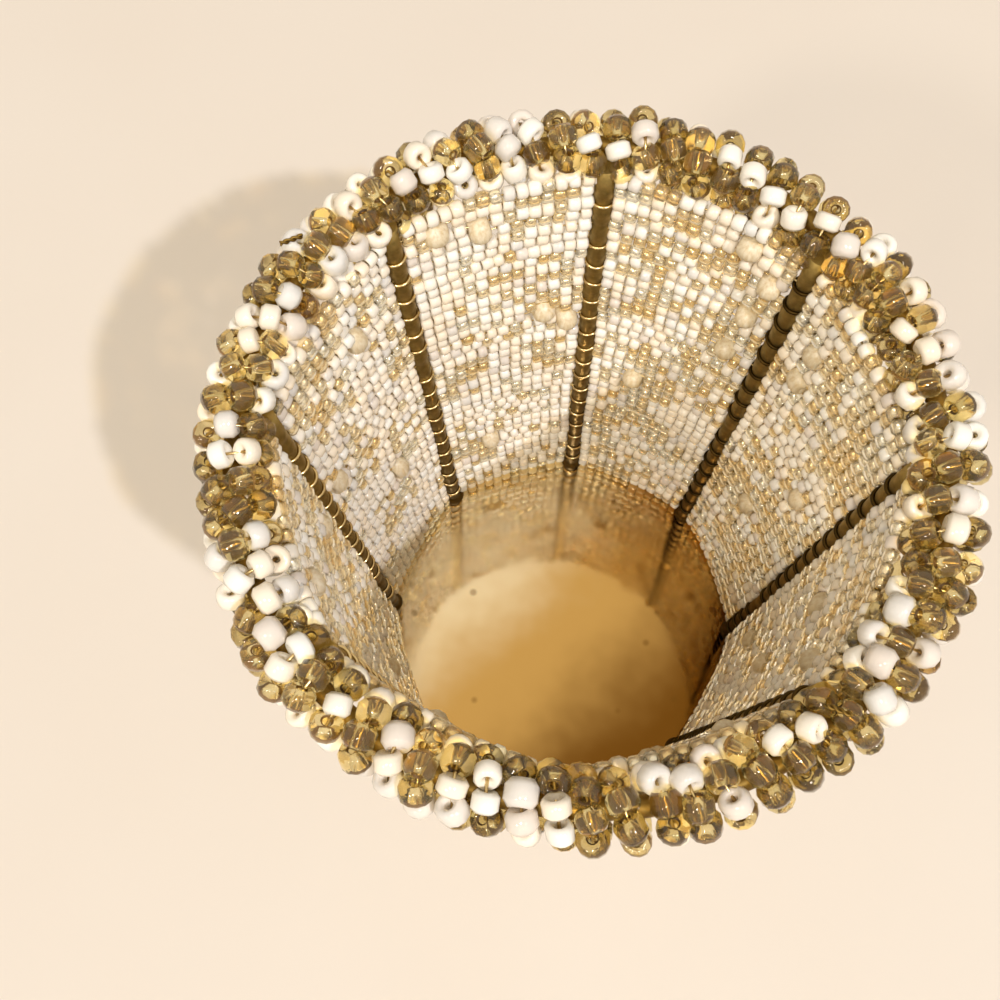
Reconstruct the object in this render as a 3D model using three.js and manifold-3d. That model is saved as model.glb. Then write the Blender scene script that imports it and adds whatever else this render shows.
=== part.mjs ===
// Beaded votive holder: an open, tapered cup of glass beads on a soldered wire frame.
//
// Eight round ribs stand on a polished brass plate and lean out to a heavy ring wire.
// Between each two ribs hangs a panel of small beads, strung in level rows.
// A strand of larger beads is wound round and round the ring wire, and makes the fat rim.
// A second ring under the plate is the foot.
//
// Millimetres, +Z up. The origin is on the table, under the middle of the cup, and rib 1 is on +X.

import * as THREE from 'three';
import { mergeGeometries, mergeVertices } from 'three/addons/utils/BufferGeometryUtils.js';
import Module from 'manifold-3d';

// Overall sizes
const rimCircleRadius = 40; // middle of the ring wire inside the rim
const ribFootRadius = 31; // middle of each rib where it stands on the plate
const bodyHeight = 83.2; // from the top of the plate to the middle of the ring wire

// Frame
const ribCount = 8;
const ribRadius = 1.35;
const topWireRadius = 1.2;
const footWireRadius = 1.5;
const footRingInset = 0.4; // the foot ring's middle, inside the middle of the ribs' feet
const plateThickness = 1;
const plateOverhang = 0.3; // how far the plate reaches past the outside of the ribs
const candleSeatRadius = 28; // the plate's middle, clear of the ribs and panels above its border

// Beads
const rimBeadDiameter = 3.4;
const rimBeadSpacing = 3.49; // from turn to turn of the strand, along the ring wire
const rowBeadDiameter = 2.1;
const rowSpacing = 2.2; // wanted, and then evened out to fill the height
const rowGrooveDepth = 0.4;
const rimGrooveDepth = 0.5;
const panelBow = 0.5; // 0 is a straight row between two ribs, 1 is an arc about the axis
const panelTopBelowWire = 2.2; // the panels' top, below the middle of the ring wire

// Clearances
const seatGap = 0.3; // between pieces that touch
const ribEndBelowWire = 0.3; // the rib's end, below the middle of the ring wire

// How finely round shapes are divided and joined
const ringSteps = 64;
const footWireSides = 10;
const topWireSides = 8;
const rimSides = 12;
const ribSides = 12;
const weldDistance = 1e-4; // corners nearer than this are one corner

// Heights
const footWireHalfHeight = footWireRadius * Math.cos(Math.PI / footWireSides);
const plateBottom = 2 * footWireHalfHeight + seatGap;
const plateTop = plateBottom + plateThickness;
const rimHeight = plateTop + bodyHeight;

// The bead strand lies straight on the ring wire, and the ribs are soldered to the wire's inside
const rollRadius = topWireRadius + rimBeadDiameter;
const ribTopRadius = rimCircleRadius - topWireRadius - seatGap - ribRadius;
const ribLean = (ribTopRadius - ribFootRadius) / bodyHeight;

// Finishes
const bronze = new THREE.MeshStandardMaterial({ color: 0x5e4c30, roughness: 0.42, metalness: 0.9 });
const brass = new THREE.MeshStandardMaterial({ color: 0xc9a257, roughness: 0.12, metalness: 1 });
const rowGlass = new THREE.MeshStandardMaterial({ color: 0xe9dcc0, roughness: 0.18, metalness: 0 });
const rimGlass = new THREE.MeshStandardMaterial({ color: 0xb9a478, roughness: 0.12, metalness: 0 });

const wasm = await Module();
wasm.setup();

// A closed mesh from rings of points that follow one another. Each ring has as many points as the
// next. Where joinEnds is false, caps holds the triangles that close a ring, as indices into it.
function loftRings(rings, joinEnds, caps = []) {
  const count = rings[0].length;
  const positions = rings.flat().flatMap((point) => [point.x, point.y, point.z]);
  const index = [];
  const spans = joinEnds ? rings.length : rings.length - 1;
  for (let ring = 0; ring < spans; ring += 1) {
    const here = ring * count;
    const there = ((ring + 1) % rings.length) * count;
    for (let side = 0; side < count; side += 1) {
      const next = (side + 1) % count;
      index.push(here + side, there + side, there + next);
      index.push(here + side, there + next, here + next);
    }
  }
  const last = (rings.length - 1) * count;
  for (const [a, b, c] of caps) {
    index.push(a, b, c);
    index.push(last + a, last + c, last + b);
  }
  const geometry = new THREE.BufferGeometry();
  geometry.setAttribute('position', new THREE.Float32BufferAttribute(positions, 3));
  geometry.setIndex(index);
  return facingOut(geometry);
}

// Turns every triangle over if the mesh encloses a negative volume
function facingOut(geometry) {
  const position = geometry.attributes.position;
  const index = Array.from(geometry.index.array);
  const corners = [new THREE.Vector3(), new THREE.Vector3(), new THREE.Vector3()];
  let volume = 0;
  for (let i = 0; i < index.length; i += 3) {
    corners.forEach((corner, k) => corner.fromBufferAttribute(position, index[i + k]));
    volume += corners[0].dot(corners[1].clone().cross(corners[2]));
  }
  if (volume < 0) {
    index.reverse();
    geometry.setIndex(index);
  }
  return geometry;
}

function toSolid(geometry) {
  const bare = geometry.clone();
  bare.deleteAttribute('normal');
  bare.deleteAttribute('uv');
  const merged = mergeVertices(bare, weldDistance);
  return new wasm.Manifold(
    new wasm.Mesh({
      numProp: 3,
      vertProperties: new Float32Array(merged.attributes.position.array),
      triVerts: new Uint32Array(merged.index.array),
    }),
  );
}

function toGeometry(solid) {
  const mesh = solid.getMesh();
  const geometry = new THREE.BufferGeometry();
  geometry.setAttribute('position', new THREE.Float32BufferAttribute(mesh.vertProperties, 3));
  geometry.setIndex(Array.from(mesh.triVerts));
  return geometry;
}

function named(name, geometry, material) {
  geometry.computeVertexNormals();
  const mesh = new THREE.Mesh(geometry, material);
  mesh.name = name;
  return mesh;
}

// A ring whose wire's radius may change from step to step and is given as a function of the step
function wireRing(circleRadius, wireRadiusAt, height, steps, sides, turnSection = 0) {
  const rings = [];
  for (let step = 0; step < steps; step += 1) {
    const around = (2 * Math.PI * step) / steps;
    const ring = [];
    for (let side = 0; side < sides; side += 1) {
      const about = (2 * Math.PI * side) / sides + turnSection;
      const radius = circleRadius + wireRadiusAt(step) * Math.cos(about);
      const z = height + wireRadiusAt(step) * Math.sin(about);
      ring.push(new THREE.Vector3(radius * Math.cos(around), radius * Math.sin(around), z));
    }
    rings.push(ring);
  }
  return loftRings(rings, true);
}

// The foot's section has a flat side below, on the table, and one above, under the plate
function makeBaseRing() {
  const flatDown = Math.PI / footWireSides + Math.PI / 2;
  const ring = wireRing(
    ribFootRadius - footRingInset,
    () => footWireRadius,
    footWireHalfHeight,
    ringSteps,
    footWireSides,
    flatDown,
  );
  return named('base_ring', ring, bronze);
}

// The plate's top is a seat for the candle and, as faces of its own, a border under the ribs
function makeBasePlate() {
  const radius = ribFootRadius + ribRadius + plateOverhang;
  const border = new THREE.RingGeometry(candleSeatRadius, radius, ringSteps);
  const seat = new THREE.CircleGeometry(candleSeatRadius, ringSteps);
  const edge = new THREE.CylinderGeometry(radius, radius, plateThickness, ringSteps, 1, true);
  edge.rotateX(Math.PI / 2);
  edge.translate(0, 0, -plateThickness / 2);
  const underside = new THREE.CircleGeometry(radius, ringSteps);
  underside.rotateX(Math.PI);
  underside.translate(0, 0, -plateThickness);
  const disc = toGeometry(toSolid(mergeGeometries([border, seat, edge, underside])));
  disc.translate(0, 0, plateTop);
  return named('base_plate', disc, brass);
}

function makeTopRing() {
  const ring = wireRing(rimCircleRadius, () => topWireRadius, rimHeight, ringSteps, topWireSides);
  return named('top_ring', ring, bronze);
}

// A rod from one height to another on a rib's leaning line, along +X, with level ends
function ribRod(radius, bottom, top) {
  const rod = new THREE.CylinderGeometry(radius, radius, top - bottom, ribSides);
  rod.rotateX(Math.PI / 2);
  const position = rod.attributes.position;
  for (let i = 0; i < position.count; i += 1) {
    const z = position.getZ(i) + (bottom + top) / 2;
    const lean = ribFootRadius + ribLean * (z - plateTop);
    position.setXYZ(i, position.getX(i) + lean, position.getY(i), z);
  }
  return rod;
}

function makeRib(number) {
  const rod = ribRod(ribRadius, plateTop + seatGap, rimHeight - ribEndBelowWire);
  const rib = named(`rib_${number}`, rod, bronze);
  rib.rotation.z = ((number - 1) * 2 * Math.PI) / ribCount;
  return rib;
}

// The strand's turns lie side by side round the ring wire, so the rim is one lobe for each turn.
// It is hollow for the ring wire, and notched from below and inside for the ribs' ends.
function makeRimBeadRoll() {
  const turns = Math.round((2 * Math.PI * rimCircleRadius) / rimBeadSpacing);
  const lobeRadius = (step) => (step % 2 === 0 ? rollRadius : rollRadius - rimGrooveDepth);
  const outside = toSolid(wireRing(rimCircleRadius, lobeRadius, rimHeight, 2 * turns, rimSides));
  const channelRadius = topWireRadius + seatGap;
  const channel = toSolid(
    wireRing(rimCircleRadius, () => channelRadius, rimHeight, ringSteps, topWireSides),
  );
  let roll = outside.subtract(channel);
  const notchBottom = rimHeight - rollRadius - seatGap;
  const notchTop = rimHeight - ribEndBelowWire + seatGap;
  const notch = toSolid(ribRod(ribRadius + seatGap, notchBottom, notchTop));
  for (let rib = 0; rib < ribCount; rib += 1) {
    roll = roll.subtract(notch.rotate([0, 0, (rib * 360) / ribCount]));
  }
  return named('rim_bead_roll', toGeometry(roll), rimGlass);
}

// The heights where a panel's faces are fullest, at a row of beads, and thinnest, between two rows
function panelLevels() {
  const bottom = plateTop + seatGap;
  const height = rimHeight - panelTopBelowWire - bottom;
  const rows = Math.round(height / rowSpacing);
  const levels = [];
  for (let level = 0; level <= 2 * rows; level += 1) {
    const groove = level % 2 === 0 ? rowGrooveDepth : 0;
    const z = bottom + (level * height) / (2 * rows);
    levels.push({
      z,
      halfThickness: rowBeadDiameter / 2 - groove,
      ribAxisRadius: ribFootRadius + ribLean * (z - plateTop),
    });
  }
  return levels;
}

// One upright section of a panel, from the bottom up its inner face and down its outer face
function panelSection(levels, placeAt, across) {
  const face = (side) =>
    levels.map(({ z, halfThickness, ribAxisRadius }) => {
      const place = placeAt(ribAxisRadius).addScaledVector(across, side * halfThickness);
      return new THREE.Vector3(place.x, place.y, z);
    });
  return [...face(-1), ...face(1).reverse()];
}

// The triangles that close a panel's end, between its inner and its outer face
function panelCaps(levelCount) {
  const caps = [];
  const last = 2 * levelCount - 1;
  for (let level = 0; level < levelCount - 1; level += 1) {
    caps.push([level, level + 1, last - level]);
    caps.push([level + 1, last - level - 1, last - level]);
  }
  return caps;
}

// A panel of bead rows between two ribs, about +X. Its top is shaped to the rim above it.
function panelGeometry() {
  const levels = panelLevels();
  const halfAngle = Math.PI / ribCount;
  const middleShare = Math.cos(halfAngle) + panelBow * (1 - Math.cos(halfAngle));
  const ribDirection = new THREE.Vector2(Math.cos(halfAngle), Math.sin(halfAngle));
  const alongRow = new THREE.Vector2(middleShare, 0).sub(ribDirection).normalize();
  const acrossRow = new THREE.Vector2(-alongRow.y, alongRow.x);
  const atRib = (radius) =>
    ribDirection.clone().multiplyScalar(radius).addScaledVector(alongRow, ribRadius + seatGap);
  const atMiddle = (radius) => new THREE.Vector2(radius * middleShare, 0);
  const end = panelSection(levels, atRib, acrossRow);
  const middle = panelSection(levels, atMiddle, new THREE.Vector2(1, 0));
  const otherEnd = end.map((point) => new THREE.Vector3(point.x, -point.y, point.z));
  const rows = toSolid(loftRings([end, middle, otherEnd], false, panelCaps(levels.length)));
  const clearOfRim = toSolid(
    wireRing(rimCircleRadius, () => rollRadius + seatGap, rimHeight, ringSteps, rimSides),
  );
  return toGeometry(rows.subtract(clearOfRim));
}

function makePanel(number) {
  const panel = named(`panel_${number}`, panelGeometry(), rowGlass);
  panel.rotation.z = ((2 * number - 1) * Math.PI) / ribCount;
  return panel;
}

const holder = new THREE.Group();
holder.add(makeBaseRing(), makeBasePlate(), makeTopRing(), makeRimBeadRoll());
for (let number = 1; number <= ribCount; number += 1) {
  holder.add(makeRib(number), makePanel(number));
}

export default holder;
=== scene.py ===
# Beaded votive holder: an open cup of strung glass beads on a soldered wire frame.
#
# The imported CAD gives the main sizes. Here each strand becomes separate beads with its wire through
# them, the round wires become smooth, and every piece gets its finish.
# Metres, +Z up, origin on the table under the middle of the cup, rib 1 on +X.

import math

import bmesh
import bpy
from mathutils import Matrix, Vector


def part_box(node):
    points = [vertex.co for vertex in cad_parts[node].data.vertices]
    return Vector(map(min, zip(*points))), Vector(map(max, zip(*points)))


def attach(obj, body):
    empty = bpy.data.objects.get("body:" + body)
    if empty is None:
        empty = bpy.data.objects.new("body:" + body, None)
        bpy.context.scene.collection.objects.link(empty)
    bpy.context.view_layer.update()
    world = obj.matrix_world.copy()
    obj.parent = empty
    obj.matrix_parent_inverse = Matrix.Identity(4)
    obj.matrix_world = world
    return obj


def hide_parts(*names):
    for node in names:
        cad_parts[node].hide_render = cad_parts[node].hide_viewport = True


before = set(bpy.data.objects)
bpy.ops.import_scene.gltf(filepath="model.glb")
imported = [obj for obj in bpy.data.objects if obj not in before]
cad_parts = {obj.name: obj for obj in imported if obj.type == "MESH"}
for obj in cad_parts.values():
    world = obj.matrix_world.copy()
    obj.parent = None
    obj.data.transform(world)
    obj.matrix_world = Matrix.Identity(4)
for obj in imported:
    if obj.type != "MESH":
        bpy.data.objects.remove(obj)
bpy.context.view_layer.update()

MM = 0.001

# What the CAD frame gives
ROLL_LOW, ROLL_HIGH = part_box("rim_bead_roll")
RING_LOW, RING_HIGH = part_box("top_ring")
PLATE_LOW, PLATE_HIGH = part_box("base_plate")
FOOT_LOW, FOOT_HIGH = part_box("base_ring")
RIB_LOW, RIB_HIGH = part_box("rib_1")
PANEL_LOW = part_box("panel_1")[0]
RIBS = sum(name.startswith("rib_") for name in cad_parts)
HALF_BAY = math.pi / RIBS  # from a rib to the middle of the panel beside it

RIM_HEIGHT = (ROLL_LOW.z + ROLL_HIGH.z) / 2
ROLL_RADIUS = (ROLL_HIGH.z - ROLL_LOW.z) / 2
RIM_RADIUS = ROLL_HIGH.x - ROLL_RADIUS
RING_WIRE = (RING_HIGH.z - RING_LOW.z) / 2
RIB_RADIUS = RIB_HIGH.y
RIB_FOOT = RIB_LOW.x + RIB_RADIUS
RIB_LEAN = (RIB_HIGH.x - RIB_RADIUS - RIB_FOOT) / (RIB_HIGH.z - RIB_LOW.z)
PLATE_RADIUS = PLATE_HIGH.x
PLATE_EDGE = 0.3 * MM  # rounding of the plate's rim
FOOT_WIRE = 1.5 * MM  # half the wire's thickness
FOOT_RADIUS = FOOT_HIGH.x - FOOT_WIRE
FOOT_HEIGHT = (FOOT_LOW.z + FOOT_HIGH.z) / 2

# The strand round the rim
RIM_BEAD = 3.3 * MM
RIM_BEAD_LENGTH = 2.6 * MM
RIM_BEAD_HOLE = 0.9 * MM
RIM_TURNS = 72
RIM_BEADS_A_TURN = 6.7
STRAND_RADIUS = ROLL_RADIUS - RIM_BEAD / 2
STRAND_WIRE = 0.2 * MM  # half the wire's thickness
STRAND_DRIFT = 2.4 * MM  # stretches of the strand wander by up to half of this
DRIFT_SPAN = 8 * MM  # about how long such a stretch is
STRAND_SLACK = 0.14 * MM  # a single bead sits up to this far off the strand's line
# Each rim bead draws a lot from 0 to 1. A glass has the lots from its first number up to its second.
RIM_LOTS = {"white": (-1.0, 0.31), "opal": (0.31, 0.43), "topaz": (0.43, 0.9), "golden": (0.9, 2.0)}

# The rows between the ribs
ROW_BEAD = 2.12 * MM
ROW_BEAD_LENGTH = 1.68 * MM
ROW_BEAD_HOLE = 1.0 * MM
ROWS = 38
LOWEST_ROW = PANEL_LOW.z + ROW_BEAD / 2
HIGHEST_ROW = ROLL_LOW.z + 2.6 * MM  # pushed clear of the rim's beads, and half hidden by them
ROW_PITCH = (HIGHEST_ROW - LOWEST_ROW) / (ROWS - 1)
PANEL_BOW = 0.5  # 0 is a straight row between two ribs, 1 is an arc about the axis
ROW_STAGGER = 0.1 * MM  # rows pass the ribs inside and outside in turn, and lie that far in or out
ROW_SWAY = 1.1 * MM  # stretches of a row wander by up to half of this
SWAY_SPAN = 11 * MM  # about how long such a stretch is
ROW_SLIDE = 0.35 * MM  # a row's first bead is pushed up to this far along from its rib
ROW_RIM_GAP = ROLL_RADIUS - 1.0 * MM  # rows stay this far from the middle of the ring wire
ROW_SPARE = (0.5, 1.4)  # added to the beads that fit in a row, so that some rows are tighter
ROW_STEPS = 16  # along a row's curve
ROW_WIRE = 0.14 * MM  # half the wire's thickness
CREAM_BEAD = 5.0 * MM
CREAM_BEAD_LENGTH = 3.1 * MM
CREAM_CLEAR = 2.0 * MM  # small beads nearer than this to a cream bead are left out

# The wire turns on the ribs
WRAPS = [LOWEST_ROW + ROW_PITCH * row for row in range(1, ROWS - 1, 2)]  # their heights
WRAPPED = 0.95  # the share of them that is there
WRAP_WIRE = 0.27 * MM  # half the wire's thickness
WRAP_OUT = 0.12 * MM  # from the rib's skin to the middle of the wire, which is pulled tight
WRAP_TILT = math.radians(8)
SHADE_PAINTED_WRAPS = (1, 2, 8)  # ribs whose wire turns are a dark copy of the wire, as painted shade

# Larger cream beads, by panel: millimetres across from the panel's middle, and height
CREAM_PLACES = {
    1: [(7.3, 74), (7.4, 67), (-4.5, 52), (2.2, 33)],
    2: [(-8.6, 69.3), (-7.6, 60.1), (-10, 77.4), (-5.9, 82.3), (4.4, 41)],
    3: [(2.4, 80.1), (8.2, 82.5), (-9.6, 55), (-6.2, 58), (3.6, 22)],
    4: [(-3.8, 75.1), (9.4, 56.9), (-2.6, 36)],
    5: [(-8.6, 61.8), (3.5, 77), (5.2, 28)],
    6: [(-2.4, 70), (6.1, 49), (-6.6, 31)],
    7: [(4.8, 79), (-5.2, 58), (1.4, 40), (6.0, 20)],
    8: [(-7.2, 73), (3.0, 63), (-2.2, 44), (5.4, 27)],
}
# By panel: below this lot a small bead is white, up to OPAL_SHARE above it opal, and from there clear.
# Panels 2, 3 and 4, on the lit side, get more white beads: partly the beads' own mix, partly painted light.
WHITE_LOTS = {1: 0.4, 2: 0.54, 3: 0.6, 4: 0.56, 5: 0.42, 6: 0.46, 7: 0.42, 8: 0.44}
OPAL_SHARE = 0.04

# Sides of a rib, sides of a fine wire, and steps round a wire turn
RIB_SIDES, FINE_WIRE_SIDES, WRAP_STEPS = 24, 6, 24

# The record's slot for the glasses that don't have the slot of their strand
GLASS_SLOTS = {"white": "white_glass", "opal": "white_glass"}

# Twisted ends of the rim's wire: where each starts and ends, in millimetres
TAILS = [((-35.2, 21.7, 91.0), (-37.3, 19.8, 92.0)), ((25.6, -28.1, 91.0), (27.8, -29.1, 92.2))]

# The camera, as fitted to the photo's rim, ribs and plate
CAMERA_PLACE = Vector((-4.06, -48.90, 203.49)) * MM
CAMERA_AIM = Vector((-9.26, -7.83, 87.35)) * MM
CAMERA_ROLL = math.radians(-2.19)
CAMERA_LENS = 40.1  # millimetres, on a sensor 36 mm wide
CAMERA_NEAR = 5 * MM  # nothing nearer is drawn

# Lamps: azimuth and height in degrees, width in metres, watts and colour. The first two throw the
# photo's two shadows. The third is high, and throws its own behind.
LAMPS = {
    "key_lamp": (-43.1, 50.7, 0.1, 41.0, "#F4F5FF"),
    "fill_lamp": (-124.4, 39.3, 0.35, 14.0, "#FFF6EA"),
    "top_lamp": (-100, 62, 0.5, 34.5, "#FFFAF2"),
}
LAMP_DISTANCE = 3.0
ROOM_LIGHT = 0.43  # strength of the soft light from all round
TABLE_HALF = 2.5

# Refractive index of soda glass
GLASS_IOR = 1.5

# Seeds of what differs from bead to bead and from row to row
TONE_SEED, ASKEW_SEED, SIZE_SEED, LOOSE_SEED, COUNT_SEED = range(1, 6)
RIM_SEED = 7
WRAP_SEED = 40  # plus the rib's number
PANEL_SEED = 100  # plus the panel's number


# Small tools


def linear(colour):
    """An sRGB hex colour as the linear colour that a shader takes."""
    parts = [int(colour[i : i + 2], 16) / 255 for i in (1, 3, 5)]
    return [c / 12.92 if c <= 0.04045 else ((c + 0.055) / 1.055) ** 2.4 for c in parts] + [1.0]


def add(tree, kind, inputs=(), out=0, **settings):
    """Adds a node, applies its settings, fills or links its inputs and returns one output."""
    made = tree.nodes.new(kind)
    for name, value in settings.items():
        setattr(made, name, value)
    pairs = inputs.items() if isinstance(inputs, dict) else enumerate(inputs)
    for key, value in pairs:
        if isinstance(value, bpy.types.NodeSocket):
            tree.links.new(value, made.inputs[key])
        else:
            made.inputs[key].default_value = value
    return made.outputs[out] if len(made.outputs) else made


def place_in_scene(name, mesh):
    """An object at the origin with this mesh."""
    thing = bpy.data.objects.new(name, mesh)
    bpy.context.scene.collection.objects.link(thing)
    return thing


def loft(name, *skins, closed=False):
    """Smooth skins, each over rings of points. An open one gets a flat face at each end."""
    shape = bmesh.new()
    for rings in skins:
        rows = [[shape.verts.new(point) for point in points] for points in rings]
        following = rows[1:] + rows[:1] if closed else rows[1:]
        for here, there in zip(rows, following):
            for corners in zip(here, here[1:] + here[:1], there[1:] + there[:1], there):
                shape.faces.new(corners).smooth = True
        if not closed:
            shape.faces.new(rows[0])
            shape.faces.new(rows[-1])
    bmesh.ops.recalc_face_normals(shape, faces=shape.faces)
    mesh = bpy.data.meshes.new(name)
    shape.to_mesh(mesh)
    shape.free()
    return place_in_scene(name, mesh)


def circle(centre, radius, sides, turn=Matrix.Identity(3)):
    """Points on a circle, level unless it is turned."""
    angles = [2 * math.pi * side / sides for side in range(sides)]
    return [Vector(centre) + turn @ Vector((math.cos(a), math.sin(a), 0)) * radius for a in angles]


def turned(name, profile, sides):
    """A shape turned about the upright axis from points of radius and height."""
    return loft(name, [circle((0, 0, height), radius, sides) for radius, height in profile])


def ring(name, radius, wire, height, sides, wire_sides, lowest=None):
    """A wire ring. It is worn flat below lowest, where that is given."""
    rings = []
    for step in range(sides):
        around = 2 * math.pi * step / sides
        points = []
        for side in range(wire_sides):
            about = 2 * math.pi * side / wire_sides
            out = radius + wire * math.cos(about)
            up = height + wire * math.sin(about)
            if lowest is not None:
                up = max(up, lowest)
            points.append(Vector((out * math.cos(around), out * math.sin(around), up)))
        rings.append(points)
    return loft(name, rings, closed=True)


# Finishes

# A colour Mix node takes its share at input 0 and its colours at 6 and 7, and gives output 2. A Map Range
# node takes its value at input 0, the range it comes from at 1 and 2, and the range it goes to at 3 and 4.
# A noise lies mostly from 0.3 to 0.7.


def finish(name, values):
    """A material whose Principled shader has these values, with its tree and shader."""
    made = bpy.data.materials.new(name)
    made.use_nodes = True
    shader = made.node_tree.nodes["Principled BSDF"]
    for socket, value in values.items():
        shader.inputs[socket].default_value = value
    return made, made.node_tree, shader


def tint(tree, shader, share, first, second):
    """Colours a finish from the first colour, where the share is 0, to the second, where it is 1."""
    mixed = {0: share, 6: linear(first), 7: linear(second)}
    colour = add(tree, "ShaderNodeMix", mixed, out=2, data_type="RGBA")
    tree.links.new(colour, shader.inputs["Base Color"])


def tint_by_bead(tree, shader, first, second):
    """Each bead's own tone, from the attribute that the strands carry, mixes two colours."""
    tone = add(tree, "ShaderNodeAttribute", out=2, attribute_name="tone")
    tint(tree, shader, tone, first, second)


def ripple(tree, shader, size, depth):
    """Uneven skin: soft waves of that size and depth, in metres."""
    place = add(tree, "ShaderNodeTexCoord", out=3)
    waves = add(tree, "ShaderNodeTexNoise", {"Vector": place, "Scale": 1 / size, "Detail": 2})
    bump = add(tree, "ShaderNodeBump", {"Height": waves, "Strength": 1.0, "Distance": depth})
    tree.links.new(bump, shader.inputs["Normal"])
    return waves


def let_lamps_through(tree, shader, colour):
    """Light from the lamps passes the glass and takes its colour, so that what is behind isn't in shade."""
    shade = add(tree, "ShaderNodeLightPath").node.outputs["Is Shadow Ray"]
    passed = add(tree, "ShaderNodeBsdfTransparent", [linear(colour)])
    surface = add(tree, "ShaderNodeMixShader", [shade, shader.outputs["BSDF"], passed])
    tree.links.new(surface, tree.nodes["Material Output"].inputs["Surface"])


def smoky_topaz_glass():
    """Fire-polished soda glass, olive brown in the mass: clear, with a bright edge."""
    made, tree, shader = finish(
        "smoky_topaz_glass", {"Roughness": 0.03, "IOR": GLASS_IOR, "Transmission Weight": 0.97}
    )
    tint_by_bead(tree, shader, "#E8D8A4", "#C6B06E")
    ripple(tree, shader, size=1.1 * MM, depth=0.06 * MM)
    let_lamps_through(tree, shader, "#EFE3BC")
    return made


def golden_topaz_glass():
    """The same glass, melted with more iron: honey brown."""
    made, tree, shader = finish(
        "golden_topaz_glass", {"Roughness": 0.03, "IOR": GLASS_IOR, "Transmission Weight": 0.97}
    )
    tint_by_bead(tree, shader, "#E4C88A", "#C8A258")
    ripple(tree, shader, size=1.1 * MM, depth=0.06 * MM)
    let_lamps_through(tree, shader, "#EAD29C")
    return made


def painted_shade_mouth():
    """The ground mouth of a bead's hole, dark brown as painted shade for the inside of the hole: a brown
    spot in the clear glass.
    """
    made, tree, shader = finish("painted_shade_mouth", {"Roughness": 0.65, "IOR": GLASS_IOR})
    tint_by_bead(tree, shader, "#70501E", "#3E2A0E")
    return made


def champagne_glass():
    """Drawn glass with a champagne cast, fire polished, and a little cloudy."""
    made, tree, shader = finish(
        "champagne_glass", {"Roughness": 0.05, "IOR": GLASS_IOR, "Transmission Weight": 0.8}
    )
    tint_by_bead(tree, shader, "#FFFDF2", "#FCE8B8")
    ripple(tree, shader, size=1.2 * MM, depth=0.03 * MM)
    let_lamps_through(tree, shader, "#F6EAD0")
    return made


def silver_lining():
    """Silver mirror inside a bead's hole: it throws the light back out through the glass."""
    made, tree, shader = finish("silver_lining", {"Metallic": 1.0, "Roughness": 0.16})
    tint_by_bead(tree, shader, "#FFFEF8", "#F8E8BC")
    return made


def white_glass():
    """Opaque warm white glass, fire polished, so it has a small sharp highlight."""
    made, tree, shader = finish("white_glass", {"Roughness": 0.12, "IOR": GLASS_IOR})
    tint_by_bead(tree, shader, "#FFFCF2", "#FFF0D6")
    ripple(tree, shader, size=1.5 * MM, depth=0.03 * MM)
    return made


def opal_glass():
    """Opal glass: milky, lets a little light in, and fire polished."""
    made, tree, shader = finish(
        "opal_glass", {"Roughness": 0.06, "IOR": GLASS_IOR, "Transmission Weight": 0.2}
    )
    tint_by_bead(tree, shader, "#FFFBF2", "#FFF2E2")
    ripple(tree, shader, size=1.5 * MM, depth=0.03 * MM)
    return made


def waxy_cream():
    """Pressed cream glass with fine streaks across its hole, and a waxy skin."""
    made, tree, shader = finish("waxy_cream", {"Roughness": 0.36, "IOR": GLASS_IOR})
    place = add(tree, "ShaderNodeTexCoord", out=3)
    drawn = add(tree, "ShaderNodeMapping", {"Vector": place, "Scale": (1.0, 1.0, 0.08)})
    streaks = {"Vector": drawn, "Scale": 1 / (0.5 * MM), "Detail": 3, "Roughness": 0.6}
    streaks = add(tree, "ShaderNodeTexNoise", streaks)
    streaks = add(tree, "ShaderNodeMapRange", {0: streaks, 1: 0.3, 2: 0.7})
    tint(tree, shader, streaks, "#F6EACE", "#D8C092")
    ripple(tree, shader, size=2.4 * MM, depth=0.03 * MM)
    return made


def antique_bronze():
    """Bronze rod with a rubbed dark patina: satin, and darker towards the feet."""
    made, tree, shader = finish("antique_bronze", {"Metallic": 1.0, "Roughness": 0.5})
    patches = ripple(tree, shader, size=1.1 * MM, depth=0.03 * MM)
    mixed = {0: patches, 6: linear("#6E5A2C"), 7: linear("#B2985C")}
    rubbed = add(tree, "ShaderNodeMix", mixed, out=2, data_type="RGBA")
    place = add(tree, "ShaderNodeTexCoord", out=3)
    up = add(tree, "ShaderNodeSeparateXYZ", [place], out=2)
    feet = {0: up, 1: 8 * MM, 2: 0.6 * RIM_HEIGHT, 3: 0.75, 4: 0.0}
    feet = add(tree, "ShaderNodeMapRange", feet)
    mixed = {0: feet, 6: rubbed, 7: linear("#4A3414")}
    colour = add(tree, "ShaderNodeMix", mixed, out=2, data_type="RGBA")
    tree.links.new(colour, shader.inputs["Base Color"])
    rough = {0: patches, 1: 0.3, 2: 0.7, 3: 0.6, 4: 0.45}
    tree.links.new(add(tree, "ShaderNodeMapRange", rough), shader.inputs["Roughness"])
    return made


def scaled_bronze_and_painted_shade():
    """Bronze wire left from soldering with its scale on: brown, with a dull gleam. On the ring wire the
    dark brown is also painted shade, for the gaps between the rim's beads.
    """
    made, tree, shader = finish("scaled_bronze_and_painted_shade", {"Metallic": 1.0, "Roughness": 0.5})
    scale = ripple(tree, shader, size=0.8 * MM, depth=0.03 * MM)
    tint(tree, shader, scale, "#5E461C", "#94783E")
    return made


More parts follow.
